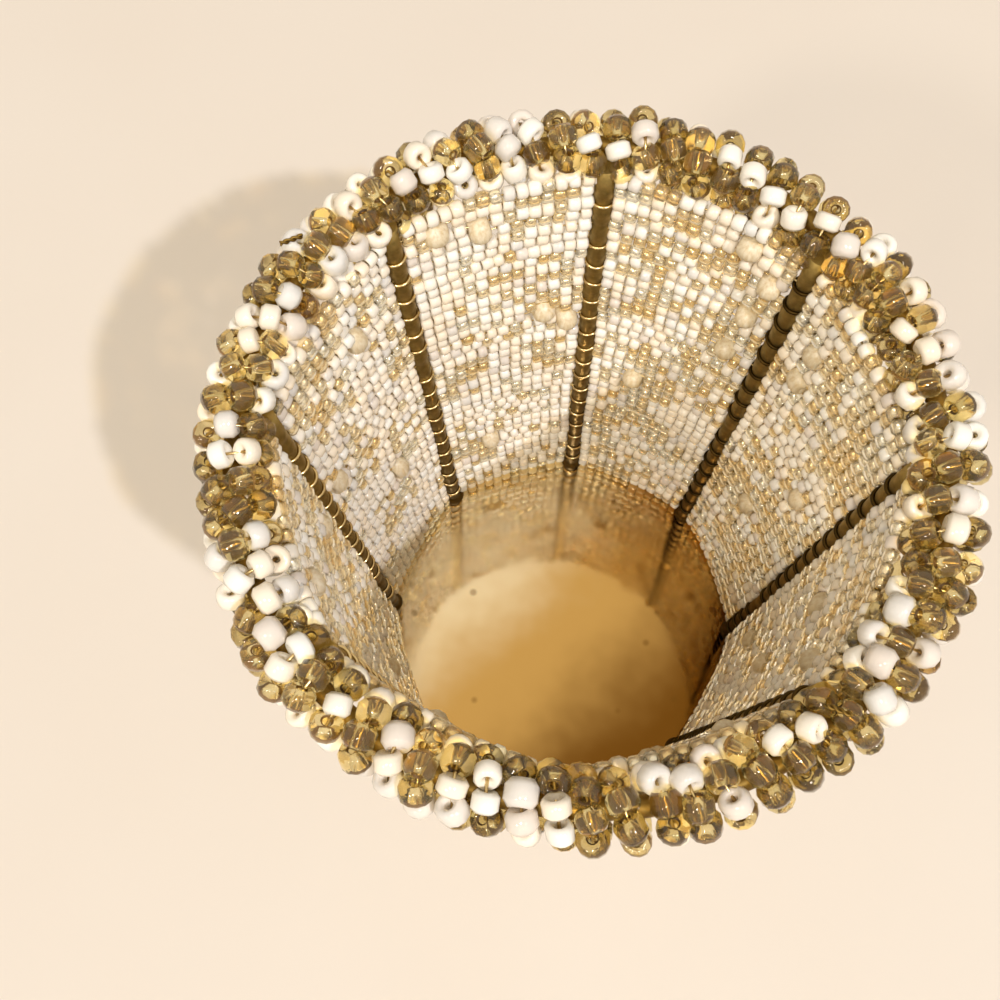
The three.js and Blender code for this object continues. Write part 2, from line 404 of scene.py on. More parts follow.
def polished_brass():
    """Buffed brass sheet: nearly a mirror, paler to one side with a painted reflection, browner to the
    other with painted shade, and with a few small tarnish spots.

    Side is the distance from the middle towards the painted shade. The haze shifts it by up to 12 mm, so
    that the tones meet in uneven lines.
    """
    made, tree, shader = finish("polished_brass", {"Metallic": 1.0, "Roughness": 0.1})
    haze = ripple(tree, shader, size=9 * MM, depth=0.03 * MM)
    place = add(tree, "ShaderNodeTexCoord", out=3)
    side = [place, (0.7, -0.71, 0.0)]
    side = add(tree, "ShaderNodeVectorMath", side, out=1, operation="DOT_PRODUCT")
    side = add(tree, "ShaderNodeMath", [haze, 12 * MM, side], operation="MULTIPLY_ADD")
    # Painted reflection: the plate turns pale towards one side, for the bright walls that a mirror there
    # shows.
    painted_reflection_fade = {0: side, 1: -0.52 * PLATE_RADIUS, 2: 0.23 * PLATE_RADIUS}
    painted_reflection_fade = add(tree, "ShaderNodeMapRange", painted_reflection_fade, interpolation_type="SMOOTHSTEP")
    mixed = {0: painted_reflection_fade, 6: linear("#FFF0CC"), 7: linear("#CAA05A")}
    bright = add(tree, "ShaderNodeMix", mixed, out=2, data_type="RGBA")
    # Painted shade: the plate turns brown towards the other side, for the shade that a mirror there shows.
    worn = {0: side, 1: 0.26 * PLATE_RADIUS, 2: 1.03 * PLATE_RADIUS, 3: 0.0, 4: 0.95}
    worn = add(tree, "ShaderNodeMapRange", worn, interpolation_type="SMOOTHSTEP")
    mixed = {0: worn, 6: bright, 7: linear("#6C430C")}
    painted_shade_colour = add(tree, "ShaderNodeMix", mixed, out=2, data_type="RGBA")
    spots = {"Vector": place, "Scale": 1 / (7 * MM), "Randomness": 1.0}
    spots = add(tree, "ShaderNodeTexVoronoi", spots)
    spots = add(tree, "ShaderNodeMapRange", {0: spots, 1: 0.05, 2: 0.12, 3: 0.5, 4: 0.0})
    mixed = {0: spots, 6: painted_shade_colour, 7: linear("#6E4A18")}
    colour = add(tree, "ShaderNodeMix", mixed, out=2, data_type="RGBA")
    tree.links.new(colour, shader.inputs["Base Color"])
    rough = {0: haze, 1: 0.3, 2: 0.7, 3: 0.12, 4: 0.05}
    tree.links.new(add(tree, "ShaderNodeMapRange", rough), shader.inputs["Roughness"])
    return made


def drawn_brass_wire():
    """Thin hard-drawn brass wire, toned brown, with a bright line along it."""
    made, tree, shader = finish("drawn_brass_wire", {"Metallic": 1.0, "Roughness": 0.24})
    place = add(tree, "ShaderNodeTexCoord", out=3)
    dull = add(tree, "ShaderNodeTexNoise", {"Vector": place, "Scale": 1 / (2.5 * MM)})
    tint(tree, shader, dull, "#AC8C56", "#F0DCA8")
    return made


def shade_painted_wire():
    """A dark copy of the same wire, as painted shade on the wire turns of the ribs in shade: dull, a dark
    line on the bronze.
    """
    made, tree, shader = finish("shade_painted_wire", {"Metallic": 1.0, "Roughness": 0.45})
    place = add(tree, "ShaderNodeTexCoord", out=3)
    dull = add(tree, "ShaderNodeTexNoise", {"Vector": place, "Scale": 1 / (2.5 * MM)})
    tint(tree, shader, dull, "#241A0A", "#54401C")
    return made


def painted_table():
    """Cream eggshell paint, for the floor."""
    made, tree, shader = finish("painted_table", {"Roughness": 0.6})
    place = add(tree, "ShaderNodeTexCoord", out=3)
    mottle = add(tree, "ShaderNodeTexNoise", {"Vector": place, "Scale": 1 / (60 * MM)})
    tint(tree, shader, mottle, "#E4D8C8", "#E8DED0")
    return made


# Geometry Nodes

# Inputs go by number where a node has several of one name. A Random Value node takes its least and most at
# 0 and 1 for vectors, and at 2 and 3 for numbers, the item that it differs by at 7 and its seed at 8.


def new_tree(name, sockets):
    """An empty Geometry Nodes tree with these named inputs, and the outputs that give them."""
    tree = bpy.data.node_groups.new(name, "GeometryNodeTree")
    for label, kind in sockets.items():
        tree.interface.new_socket(label, in_out="INPUT", socket_type="NodeSocket" + kind)
    tree.interface.new_socket("Made", in_out="OUTPUT", socket_type="NodeSocketGeometry")
    return tree, tree.nodes.new("NodeGroupInput").outputs


def give(tree, geometry):
    """Ends a tree with the geometry that it makes."""
    tree.links.new(geometry, tree.nodes.new("NodeGroupOutput").inputs[0])
    return tree


def grow(name, tree, values):
    """What a tree makes with these values, as a plain mesh."""
    piece = place_in_scene(name, bpy.data.meshes.new(name))
    modifier = piece.modifiers.new("grow", "NODES")
    modifier.node_group = tree
    for item in tree.interface.items_tree:
        if item.in_out == "INPUT":
            modifier[item.identifier] = values[item.name]
    graph = bpy.context.evaluated_depsgraph_get()
    evaluated = piece.evaluated_get(graph)
    mesh = bpy.data.meshes.new_from_object(evaluated, preserve_all_data_layers=True, depsgraph=graph)
    piece.modifiers.remove(modifier)
    piece.data = mesh
    mesh.name = name
    return piece


BEAD_SOCKETS = {
    "Bead": "Object",
    "Glass": "Material",
    "Lining": "Material",
    "Tilt": "Float",
    "Spin": "Float",
    "Smallest": "Vector",
    "Largest": "Vector",
}
LOT_SOCKETS = {
    "From": "Float",
    "To": "Float",
    "Patch Size": "Float",
    "Patch Share": "Float",
    "Seed": "Int",
}
WIRE_SOCKETS = {"Wire": "Float", "Metal": "Material"}


def in_this_glass(tree, given):
    """True for the beads of the wanted glass. A bead's lot is partly its own and partly its patch's."""
    mine = {2: 0.0, 3: 1.0, 7: add(tree, "GeometryNodeInputIndex"), 8: given["Seed"]}
    own = add(tree, "FunctionNodeRandomValue", mine, out=1, data_type="FLOAT")
    often = add(tree, "ShaderNodeMath", [1.0, given["Patch Size"]], operation="DIVIDE")
    noise = {"Vector": add(tree, "GeometryNodeInputPosition"), "W": given["Seed"]}
    noise.update({"Scale": often, "Detail": 1.0})
    patch = add(tree, "ShaderNodeTexNoise", noise, noise_dimensions="4D")
    spread = add(tree, "ShaderNodeMapRange", {0: patch, 1: 0.3, 2: 0.7})
    lot = add(tree, "ShaderNodeMix", {0: given["Patch Share"], 2: own, 3: spread}, clamp_factor=True)
    over = add(tree, "FunctionNodeCompare", {0: lot, 1: given["From"]}, operation="GREATER_EQUAL")
    under = add(tree, "FunctionNodeCompare", {0: lot, 1: given["To"]}, operation="LESS_THAN")
    return add(tree, "FunctionNodeBooleanMath", [over, under], operation="AND")


def strung(tree, given, points, wanted, along):
    """Puts the bead on the wanted points, its hole along the strand but a little askew.

    Each bead gets its own size and tone, and its two materials. Smallest and Largest are shares of its
    size, with the hole's way last.
    """
    tilt = given["Tilt"]
    least = add(tree, "ShaderNodeCombineXYZ", [tilt, tilt])
    least = add(tree, "ShaderNodeVectorMath", {0: least, 3: -1.0}, operation="SCALE")
    most = add(tree, "ShaderNodeCombineXYZ", {0: tilt, 1: tilt, 2: given["Spin"]})
    random = {"data_type": "FLOAT_VECTOR"}
    askew = add(tree, "FunctionNodeRandomValue", {0: least, 1: most, 8: ASKEW_SEED}, **random)
    turn = add(tree, "FunctionNodeRotateRotation", [along, askew], rotation_space="LOCAL")
    sizes = {0: given["Smallest"], 1: given["Largest"], 8: SIZE_SEED}
    size = add(tree, "FunctionNodeRandomValue", sizes, **random)
    bead = add(tree, "GeometryNodeObjectInfo", {0: given["Bead"], 1: True}, out=4)
    inputs = {0: points, 1: wanted, 2: bead, 5: turn, 6: size}
    beads = add(tree, "GeometryNodeInstanceOnPoints", inputs)
    tone = {2: 0.0, 3: 1.0, 8: TONE_SEED}
    tone = add(tree, "FunctionNodeRandomValue", tone, out=1, data_type="FLOAT")
    toned = {"Geometry": beads, "Name": "tone", "Value": tone}
    beads = add(tree, "GeometryNodeStoreNamedAttribute", toned, data_type="FLOAT", domain="INSTANCE")
    beads = add(tree, "GeometryNodeRealizeInstances", [beads])
    beads = add(tree, "GeometryNodeSetMaterial", {0: beads, 2: given["Glass"]})
    lined = add(tree, "GeometryNodeInputNamedAttribute", ["lining"], data_type="BOOLEAN")
    return give(tree, add(tree, "GeometryNodeSetMaterial", [beads, lined, given["Lining"]]))


def wired(tree, given, curves):
    """A wire along curves."""
    section = {0: FINE_WIRE_SIDES, 4: given["Wire"]}
    section = add(tree, "GeometryNodeCurvePrimitiveCircle", section)
    wire = add(tree, "GeometryNodeCurveToMesh", {0: curves, 1: section, "Fill Caps": True})
    wire = add(tree, "GeometryNodeSetShadeSmooth", [wire])
    wire = add(tree, "GeometryNodeRealizeInstances", [wire])
    return give(tree, add(tree, "GeometryNodeSetMaterial", {0: wire, 2: given["Metal"]}))


STRAND_SOCKETS = {
    "Rim Radius": "Float",
    "Rim Height": "Float",
    "Strand Radius": "Float",
    "Turns": "Float",
    "Beads": "Int",
    "Drift": "Float",
    "Slack": "Float",
}


def strand_curve(tree, given):
    """A ring with one point for each bead, swung round the ring wire, wandering, and a little loose."""
    strand = {0: given["Beads"], 4: given["Rim Radius"]}
    strand = add(tree, "GeometryNodeCurvePrimitiveCircle", strand)
    place = add(tree, "GeometryNodeInputPosition")
    along = add(tree, "GeometryNodeInputTangent")
    share = add(tree, "GeometryNodeSplineParameter")
    about = add(tree, "ShaderNodeMath", [share, given["Turns"]], operation="MULTIPLY")
    about = add(tree, "ShaderNodeMath", [about, 2 * math.pi], operation="MULTIPLY")
    arm = add(tree, "ShaderNodeVectorMath", [place], operation="NORMALIZE")
    arm = add(tree, "ShaderNodeVectorMath", {0: arm, 3: given["Strand Radius"]}, operation="SCALE")
    swing = {0: arm, 2: along, 3: about}
    swing = add(tree, "ShaderNodeVectorRotate", swing, rotation_type="AXIS_ANGLE")
    drift = {"Vector": place, "Scale": 1 / DRIFT_SPAN, "Detail": 1.0}
    drift = add(tree, "ShaderNodeTexNoise", drift, out=1)
    drift = add(tree, "ShaderNodeVectorMath", [drift, (0.5, 0.5, 0.5)], operation="SUBTRACT")
    drift = add(tree, "ShaderNodeVectorMath", {0: drift, 3: given["Drift"]}, operation="SCALE")
    loose = {0: (-1.0, -1.0, -1.0), 1: (1.0, 1.0, 1.0), 8: LOOSE_SEED}
    loose = add(tree, "FunctionNodeRandomValue", loose, data_type="FLOAT_VECTOR")
    loose = add(tree, "ShaderNodeVectorMath", {0: loose, 3: given["Slack"]}, operation="SCALE")
    up = add(tree, "ShaderNodeCombineXYZ", {2: given["Rim Height"]})
    offset = add(tree, "ShaderNodeVectorMath", [swing, drift], operation="ADD")
    offset = add(tree, "ShaderNodeVectorMath", [offset, loose], operation="ADD")
    offset = add(tree, "ShaderNodeVectorMath", [offset, up], operation="ADD")
    return add(tree, "GeometryNodeSetPosition", {0: strand, 3: offset})


def rim_bead_tree():
    """The strand's beads."""
    tree, given = new_tree("rim_beads", {**STRAND_SOCKETS, **BEAD_SOCKETS, **LOT_SOCKETS})
    strand = strand_curve(tree, given)
    points = add(tree, "GeometryNodeCurveToPoints", [strand], mode="EVALUATED")
    along = points.node.outputs["Rotation"]
    return strung(tree, given, points, in_this_glass(tree, given), along)


def rim_wire_tree():
    """The wire that the strand's beads are on."""
    tree, given = new_tree("rim_wire", {**STRAND_SOCKETS, **WIRE_SOCKETS})
    return wired(tree, given, strand_curve(tree, given))


ROW_SOCKETS = {
    "Panel Angle": "Float",
    "Row Start": "Vector",
    "Row Middle": "Vector",
    "Row End": "Vector",
    "Lowest": "Vector",
    "Highest": "Vector",
    "Rows": "Int",
    "Foot Radius": "Float",
    "Foot Height": "Float",
    "Lean": "Float",
    "Stagger": "Float",
    "Sway": "Float",
    "Rim Radius": "Float",
    "Rim Height": "Float",
    "Rim Clearance": "Float",
    "Seed": "Int",
}


def row_curves(tree, given):
    """A panel's rows as curves from rib to rib, bowed, swaying, and pushed clear of the rim.

    They lie a little further out and a little further in by turns.
    """
    levels = {0: given["Rows"], 2: given["Lowest"], 3: given["Highest"]}
    levels = add(tree, "GeometryNodeMeshLine", levels, mode="END_POINTS")
    bow = [ROW_STEPS, given["Row Start"], given["Row Middle"], given["Row End"]]
    bow = add(tree, "GeometryNodeCurveQuadraticBezier", bow)
    height = add(tree, "ShaderNodeSeparateXYZ", [add(tree, "GeometryNodeInputPosition")], out=2)
    rise = add(tree, "ShaderNodeMath", [height, given["Foot Height"]], operation="SUBTRACT")
    leaning = [rise, given["Lean"], given["Foot Radius"]]
    radius = add(tree, "ShaderNodeMath", leaning, operation="MULTIPLY_ADD")
    index = add(tree, "GeometryNodeInputIndex")
    odd = add(tree, "ShaderNodeMath", [index, 2.0], operation="MODULO")
    side = add(tree, "ShaderNodeMath", [odd, -2.0, 1.0], operation="MULTIPLY_ADD")
    radius = add(tree, "ShaderNodeMath", [side, given["Stagger"], radius], operation="MULTIPLY_ADD")
    size = add(tree, "ShaderNodeCombineXYZ", {0: radius, 1: radius, 2: 1.0})
    turn = add(tree, "ShaderNodeCombineXYZ", {2: given["Panel Angle"]})
    rows = add(tree, "GeometryNodeInstanceOnPoints", {0: levels, 2: bow, 5: turn, 6: size})
    rows = add(tree, "GeometryNodeRealizeInstances", [rows])

    place = add(tree, "GeometryNodeInputPosition")
    sway = {"Vector": place, "W": given["Seed"], "Scale": 1 / SWAY_SPAN, "Detail": 1.0}
    sway = add(tree, "ShaderNodeTexNoise", sway, out=1, noise_dimensions="4D")
    sway = add(tree, "ShaderNodeVectorMath", [sway, (0.5, 0.5, 0.5)], operation="SUBTRACT")
    sway = add(tree, "ShaderNodeVectorMath", {0: sway, 3: given["Sway"]}, operation="SCALE")
    rows = add(tree, "GeometryNodeSetPosition", {0: rows, 3: sway})

    flat = add(tree, "ShaderNodeVectorMath", [place, (1.0, 1.0, 0.0)], operation="MULTIPLY")
    flat = add(tree, "ShaderNodeVectorMath", [flat], operation="NORMALIZE")
    flat = add(tree, "ShaderNodeVectorMath", {0: flat, 3: given["Rim Radius"]}, operation="SCALE")
    up = add(tree, "ShaderNodeCombineXYZ", {2: given["Rim Height"]})
    wire = add(tree, "ShaderNodeVectorMath", [flat, up], operation="ADD")
    away = add(tree, "ShaderNodeVectorMath", [place, wire], operation="SUBTRACT")
    far = add(tree, "ShaderNodeVectorMath", [away], out=1, operation="LENGTH")
    far = add(tree, "ShaderNodeMath", [far, given["Rim Clearance"]], operation="MAXIMUM")
    away = add(tree, "ShaderNodeVectorMath", [away], operation="NORMALIZE")
    away = add(tree, "ShaderNodeVectorMath", {0: away, 3: far}, operation="SCALE")
    clear = add(tree, "ShaderNodeVectorMath", [wire, away], operation="ADD")
    return add(tree, "GeometryNodeSetPosition", {0: rows, 2: clear})


def row_bead_tree():
    """A panel's small beads of one glass.

    Every row holds about as many beads as fit, and starts and ends clear of the ribs.
    """
    extra = {"Rib Clearance": "Float", "Slide": "Float", "Bead Pitch": "Float"}
    extra.update({"Cream Beads": "Object", "Cream Clearance": "Float"})
    tree, given = new_tree("row_beads", {**ROW_SOCKETS, **BEAD_SOCKETS, **LOT_SOCKETS, **extra})
    rows = row_curves(tree, given)
    index = add(tree, "GeometryNodeInputIndex")
    slide = {2: 0.0, 3: given["Slide"], 7: index, 8: given["Seed"]}
    slide = add(tree, "FunctionNodeRandomValue", slide, out=1, data_type="FLOAT")
    start = add(tree, "ShaderNodeMath", [slide, given["Rib Clearance"]], operation="ADD")
    long = add(tree, "GeometryNodeSplineLength")
    stop = add(tree, "ShaderNodeMath", [long, given["Rib Clearance"]], operation="SUBTRACT")
    rows = add(tree, "GeometryNodeTrimCurve", {0: rows, 4: start, 5: stop}, mode="LENGTH")
    fitting = add(tree, "ShaderNodeMath", [long, given["Bead Pitch"]], operation="DIVIDE")
    spare = {2: ROW_SPARE[0], 3: ROW_SPARE[1], 7: index, 8: COUNT_SEED}
    spare = add(tree, "FunctionNodeRandomValue", spare, out=1, data_type="FLOAT")
    count = add(tree, "ShaderNodeMath", [fitting, spare], operation="ADD")
    count = add(tree, "ShaderNodeMath", [count], operation="FLOOR")
    rows = add(tree, "GeometryNodeResampleCurve", {0: rows, 2: count}, mode="COUNT")
    points = add(tree, "GeometryNodeCurveToPoints", [rows], mode="EVALUATED")
    along = points.node.outputs["Rotation"]
    cream = add(tree, "GeometryNodeObjectInfo", {0: given["Cream Beads"]}, out=4)
    near = add(tree, "GeometryNodeProximity", {0: cream}, out=1, target_element="POINTS")
    free = add(tree, "FunctionNodeCompare", [near, given["Cream Clearance"]], operation="GREATER_THAN")
    wanted = [free, in_this_glass(tree, given)]
    wanted = add(tree, "FunctionNodeBooleanMath", wanted, operation="AND")
    return strung(tree, given, points, wanted, along)


def row_wire_tree():
    """The wires that a panel's rows are on. They end inside the ribs."""
    tree, given = new_tree("row_wires", {**ROW_SOCKETS, **WIRE_SOCKETS})
    return wired(tree, given, row_curves(tree, given))


def cream_bead_tree():
    """The larger cream beads of one panel, on the points that mark them."""
    tree, given = new_tree("cream_beads", {"Places": "Object", "Along": "Vector", **BEAD_SOCKETS})
    points = add(tree, "GeometryNodeObjectInfo", {0: given["Places"]}, out=4)
    along = add(tree, "FunctionNodeAlignRotationToVector", {2: given["Along"]}, axis="Z")
    return strung(tree, given, points, True, along)


def rib_wrap_tree():
    """Wire wound once round a rib wherever a row passes it inside."""
    sockets = {
        "Foot": "Vector",
        "Top": "Vector",
        "Count": "Int",
        "Wrap Radius": "Float",
        "Wrapped": "Float",
        "Tilt": "Float",
        "Seed": "Int",
        **WIRE_SOCKETS,
    }
    tree, given = new_tree("rib_wraps", sockets)
    ends = {0: given["Count"], 2: given["Foot"], 3: given["Top"]}
    line = add(tree, "GeometryNodeMeshLine", ends, mode="END_POINTS")
    loop = {0: WRAP_STEPS, 4: given["Wrap Radius"]}
    loop = add(tree, "GeometryNodeCurvePrimitiveCircle", loop)
    section = {0: FINE_WIRE_SIDES, 4: given["Wire"]}
    section = add(tree, "GeometryNodeCurvePrimitiveCircle", section)
    wrap = add(tree, "GeometryNodeCurveToMesh", [loop, section])
    wrap = add(tree, "GeometryNodeSetShadeSmooth", [wrap])
    index = add(tree, "GeometryNodeInputIndex")
    lot = {2: 0.0, 3: 1.0, 7: index, 8: given["Seed"]}
    lot = add(tree, "FunctionNodeRandomValue", lot, out=1, data_type="FLOAT")
    kept = add(tree, "FunctionNodeCompare", [lot, given["Wrapped"]], operation="LESS_THAN")
    lean = {0: (-1.0, -1.0, 0.0), 1: (1.0, 1.0, 0.0), 7: index, 8: given["Seed"]}
    lean = add(tree, "FunctionNodeRandomValue", lean, data_type="FLOAT_VECTOR")
    lean = add(tree, "ShaderNodeVectorMath", {0: lean, 3: given["Tilt"]}, operation="SCALE")
    inputs = {0: line, 1: kept, 2: wrap, 5: lean}
    wraps = add(tree, "GeometryNodeInstanceOnPoints", inputs)
    wraps = add(tree, "GeometryNodeRealizeInstances", [wraps])
    return give(tree, add(tree, "GeometryNodeSetMaterial", {0: wraps, 2: given["Metal"]}))


# The bead that a strand repeats


def bead_shape(name, diameter, length, hole, outline, sides, straight=0.6, lined="hole"):
    """A bead with its hole upright, straight for that share of the bead's length, then widening.

    The outline goes from a mouth to the middle, in shares of the wall's thickness and of half the length.
    The faces of the straight hole, or of its two mouths, carry the attribute lining.
    """
    radius, half, bore = diameter / 2, length / 2, hole / 2
    wall = radius - bore
    profile = [(bore, -straight * half), (bore, straight * half)]
    profile += [(bore + wall * out, half * up) for out, up in outline]
    profile += [(bore + wall * out, -half * up) for out, up in reversed(outline)]
    rings = [circle((0, 0, height), out, sides) for out, height in profile]
    bead = loft(name, rings, closed=True)
    low, high = (0, bore) if lined == "hole" else (bore, bore + wall * outline[0][0])
    lining = bead.data.attributes.new("lining", "BOOLEAN", "FACE")
    for face in bead.data.polygons:
        lining.data[face.index].value = low < math.hypot(face.center.x, face.center.y) < high
    bead.hide_render = True
    return bead


# Assembling


def ride_root(piece, slot, *nodes):
    """Gives a finished piece its body and hides the CAD nodes that it stands for. Its slot is not used."""
    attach(piece, "root")
    if nodes:
        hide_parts(*nodes)


def on_rib(height, number):
    """The middle of a rib at that height."""
    around = 2 * HALF_BAY * (number - 1)
    out = RIB_FOOT + RIB_LEAN * (height - RIB_LOW.z)
    return Vector((out * math.cos(around), out * math.sin(around), height))


def make_frame(bronze, dark_bronze, brass):
    """The foot, the plate, the ring wire and the ribs, which swell between their wraps."""
    foot = ring("foot_ring", FOOT_RADIUS, FOOT_WIRE, FOOT_HEIGHT, sides=128, wire_sides=20, lowest=0.0)
    foot.data.materials.append(bronze)
    ride_root(foot, "bronze_wire", "base_ring")

    edge = PLATE_EDGE
    corners = [math.radians(degrees) for degrees in (0, 30, 60, 90)]
    turn = [(1 - math.cos(a), 1 - math.sin(a)) for a in corners]
    above = [(PLATE_RADIUS - edge * x, PLATE_HIGH.z - edge * y) for x, y in reversed(turn)]
    below = [(PLATE_RADIUS - edge * x, PLATE_LOW.z + edge * y) for x, y in turn]
    inner = [PLATE_RADIUS * share for share in (0.02, 0.3, 0.6, 0.85, 0.96)]
    profile = [(r, PLATE_HIGH.z) for r in inner] + above + below
    profile += [(r, PLATE_LOW.z) for r in reversed(inner)]
    plate = turned("floor_plate", profile, sides=128)
    plate.data.materials.append(brass)
    ride_root(plate, "polished_brass", "base_plate")

    wire = ring("ring_wire", RIM_RADIUS, RING_WIRE, RIM_HEIGHT, sides=160, wire_sides=14)
    # The ring wire shows between the rim's beads; its dark brown is also painted shade for those gaps.
    wire.data.materials.append(dark_bronze)
    ride_root(wire, "bronze_wire", "top_ring")

    solder = 1.3 * MM  # height of the solder's flare at a rib's foot
    flare = ((0, 1.45), (0.25, 1.25), (0.6, 1.08), (1, 1))  # shares of that height and of the radius
    barrel = ((-0.5, 1.04), (-0.12, 0.98), (0, 0.88), (0.12, 0.98))  # of the wraps' pitch and the radius
    swelling = [(z + 2 * ROW_PITCH * share, swell) for z in WRAPS for share, swell in barrel]
    for number in range(1, RIBS + 1):
        levels = [(PLATE_HIGH.z + solder * up, swell) for up, swell in flare]
        levels += swelling + [(RIM_HEIGHT, 1)]
        rings = [circle(on_rib(z, number), RIB_RADIUS * swell, RIB_SIDES) for z, swell in levels]
        rod = loft(f"rib_rod_{number}", rings)
        rod.data.materials.append(bronze)
        ride_root(rod, "bronze_wire", f"rib_{number}")


def make_wraps(wire, dark_copy_wire):
    """Wire round each rib, at every second row."""
    tree = rib_wrap_tree()
    for number in range(1, RIBS + 1):
        values = {
            "Foot": on_rib(WRAPS[0], number),
            "Top": on_rib(WRAPS[-1], number),
            "Count": len(WRAPS),
            "Wrap Radius": RIB_RADIUS + WRAP_OUT,
            "Wire": WRAP_WIRE,
            "Wrapped": WRAPPED,
            "Tilt": WRAP_TILT,
            "Seed": WRAP_SEED + number,
            # Some ribs get the dark copy of the wire on their turns, as painted shade.
            "Metal": dark_copy_wire if number in SHADE_PAINTED_WRAPS else wire,
        }
        ride_root(grow(f"rib_wraps_{number}", tree, values), "bead_wire")


def make_rim(glasses, wire):
    """The strand of larger beads round the ring wire, one piece for each glass.

    White beads are barrels. The others are round, and the clear ones have dark mouths, painted shade for
    the inside of the hole.
    """
    sizes = (RIM_BEAD, RIM_BEAD_LENGTH, RIM_BEAD_HOLE)
    outline = [(0.14, 0.8), (0.55, 1.0), (0.96, 0.5)]
    round_bead = bead_shape("round_bead", *sizes, outline, sides=12, straight=0.64, lined="mouths")
    barrel_bead = bead_shape("barrel_bead", *sizes, [(0.6, 1.0), (1.0, 0.6)], sides=14)
    barrels = {"Bead": barrel_bead, "Smallest": (0.86, 0.86, 0.76), "Largest": (1.04, 1.04, 0.96)}
    rounds = {"Bead": round_bead, "Smallest": (0.96, 0.96, 0.92), "Largest": (1.16, 1.16, 1.14)}
    strand = {
        "Rim Radius": RIM_RADIUS,
        "Rim Height": RIM_HEIGHT,
        "Strand Radius": STRAND_RADIUS,
        "Turns": float(RIM_TURNS),
        "Beads": round(RIM_TURNS * RIM_BEADS_A_TURN),
        "Drift": STRAND_DRIFT,
        "Slack": STRAND_SLACK,
    }
    tree = rim_bead_tree()
    for glass, (low, high) in RIM_LOTS.items():
        clear = glass in ("topaz", "golden")
        values = {
            **strand,
            **(barrels if glass == "white" else rounds),
            "Glass": glasses[glass],
            # Clear beads get dark mouths, painted shade for the inside of the hole.
            "Lining": glasses["mouth"] if clear else glasses[glass],
            "Tilt": math.radians(20),
            "Spin": 2 * math.pi,
            "From": low,
            "To": high,
            "Patch Size": 7 * MM,
            "Patch Share": 0.3,
            "Seed": RIM_SEED,
        }
        piece = grow(f"rim_beads_{glass}", tree, values)
        ride_root(piece, GLASS_SLOTS.get(glass, "rim_glass"))
        if glass == "topaz":
            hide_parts("rim_bead_roll")
    values = {**strand, "Wire": STRAND_WIRE, "Metal": wire}
    ride_root(grow("rim_wire", rim_wire_tree(), values), "bead_wire")
    bpy.data.objects.remove(round_bead)
    bpy.data.objects.remove(barrel_bead)


def make_tails(dark_bronze):
    """The rim wire's cut ends, each a short twist of two wires that stands out of the beads."""
    thick, twist, steps, turns = 0.18 * MM, 0.17 * MM, 16, 1.6
    for number, (start, end) in enumerate(TAILS, start=1):
        start, end = Vector(start) * MM, Vector(end) * MM
        frame_of_tail = (end - start).to_track_quat("Z", "X").to_matrix()
        skins = []
        for phase in (0, math.pi):
            rings = []
            for step in range(steps + 1):
                share = step / steps
                turn = phase + 2 * math.pi * turns * share
                along = (end - start).length * share
                middle = Vector((math.cos(turn) * twist, math.sin(turn) * twist, along))
                middle = start + frame_of_tail @ middle
                rings.append(circle(middle, thick, sides=8, turn=frame_of_tail))
            skins.append(rings)
        tail = loft(f"wire_tail_{number}", *skins)
        tail.data.materials.append(dark_bronze)
        ride_root(tail, "bead_wire")


def cream_marks(number, angle):
    """A mesh of one point for each cream bead of a panel, on the panel's middle surface."""
    chord = math.cos(HALF_BAY)
    share = chord + PANEL_BOW * (1 - chord)
    points = []
    for across, height in CREAM_PLACES[number]:
        radius = RIB_FOOT + RIB_LEAN * (height * MM - RIB_LOW.z)
        sag = radius * (share - chord)
        out = across * MM / (radius * math.sin(HALF_BAY))
        flat = Vector((radius * share - sag * out * out, across * MM, height * MM))
        points.append(Matrix.Rotation(angle, 3, "Z") @ flat)
    mesh = bpy.data.meshes.new(f"cream_marks_{number}")
    mesh.from_pydata(points, [], [])
    return place_in_scene(f"cream_marks_{number}", mesh)


def panel_rows(number, angle):
    """What the beads and the wires of a panel's rows share. A row's three points are for a radius of 1."""
    chord, half = math.cos(HALF_BAY), math.sin(HALF_BAY)
    return {
        "Panel Angle": angle,
        "Row Start": (chord, -half, 0.0),
        "Row Middle": (chord + 2 * PANEL_BOW * (1 - chord), 0.0, 0.0),
        "Row End": (chord, half, 0.0),
        "Lowest": (0.0, 0.0, LOWEST_ROW),
        "Highest": (0.0, 0.0, HIGHEST_ROW),
        "Rows": ROWS,
        "Foot Radius": RIB_FOOT,
        "Foot Height": RIB_LOW.z,
        "Lean": RIB_LEAN,
        "Stagger": ROW_STAGGER,
        "Sway": ROW_SWAY,
        "Rim Radius": RIM_RADIUS,
        "Rim Height": RIM_HEIGHT,
        "Rim Clearance": ROW_RIM_GAP,
        "Seed": PANEL_SEED + number,
    }


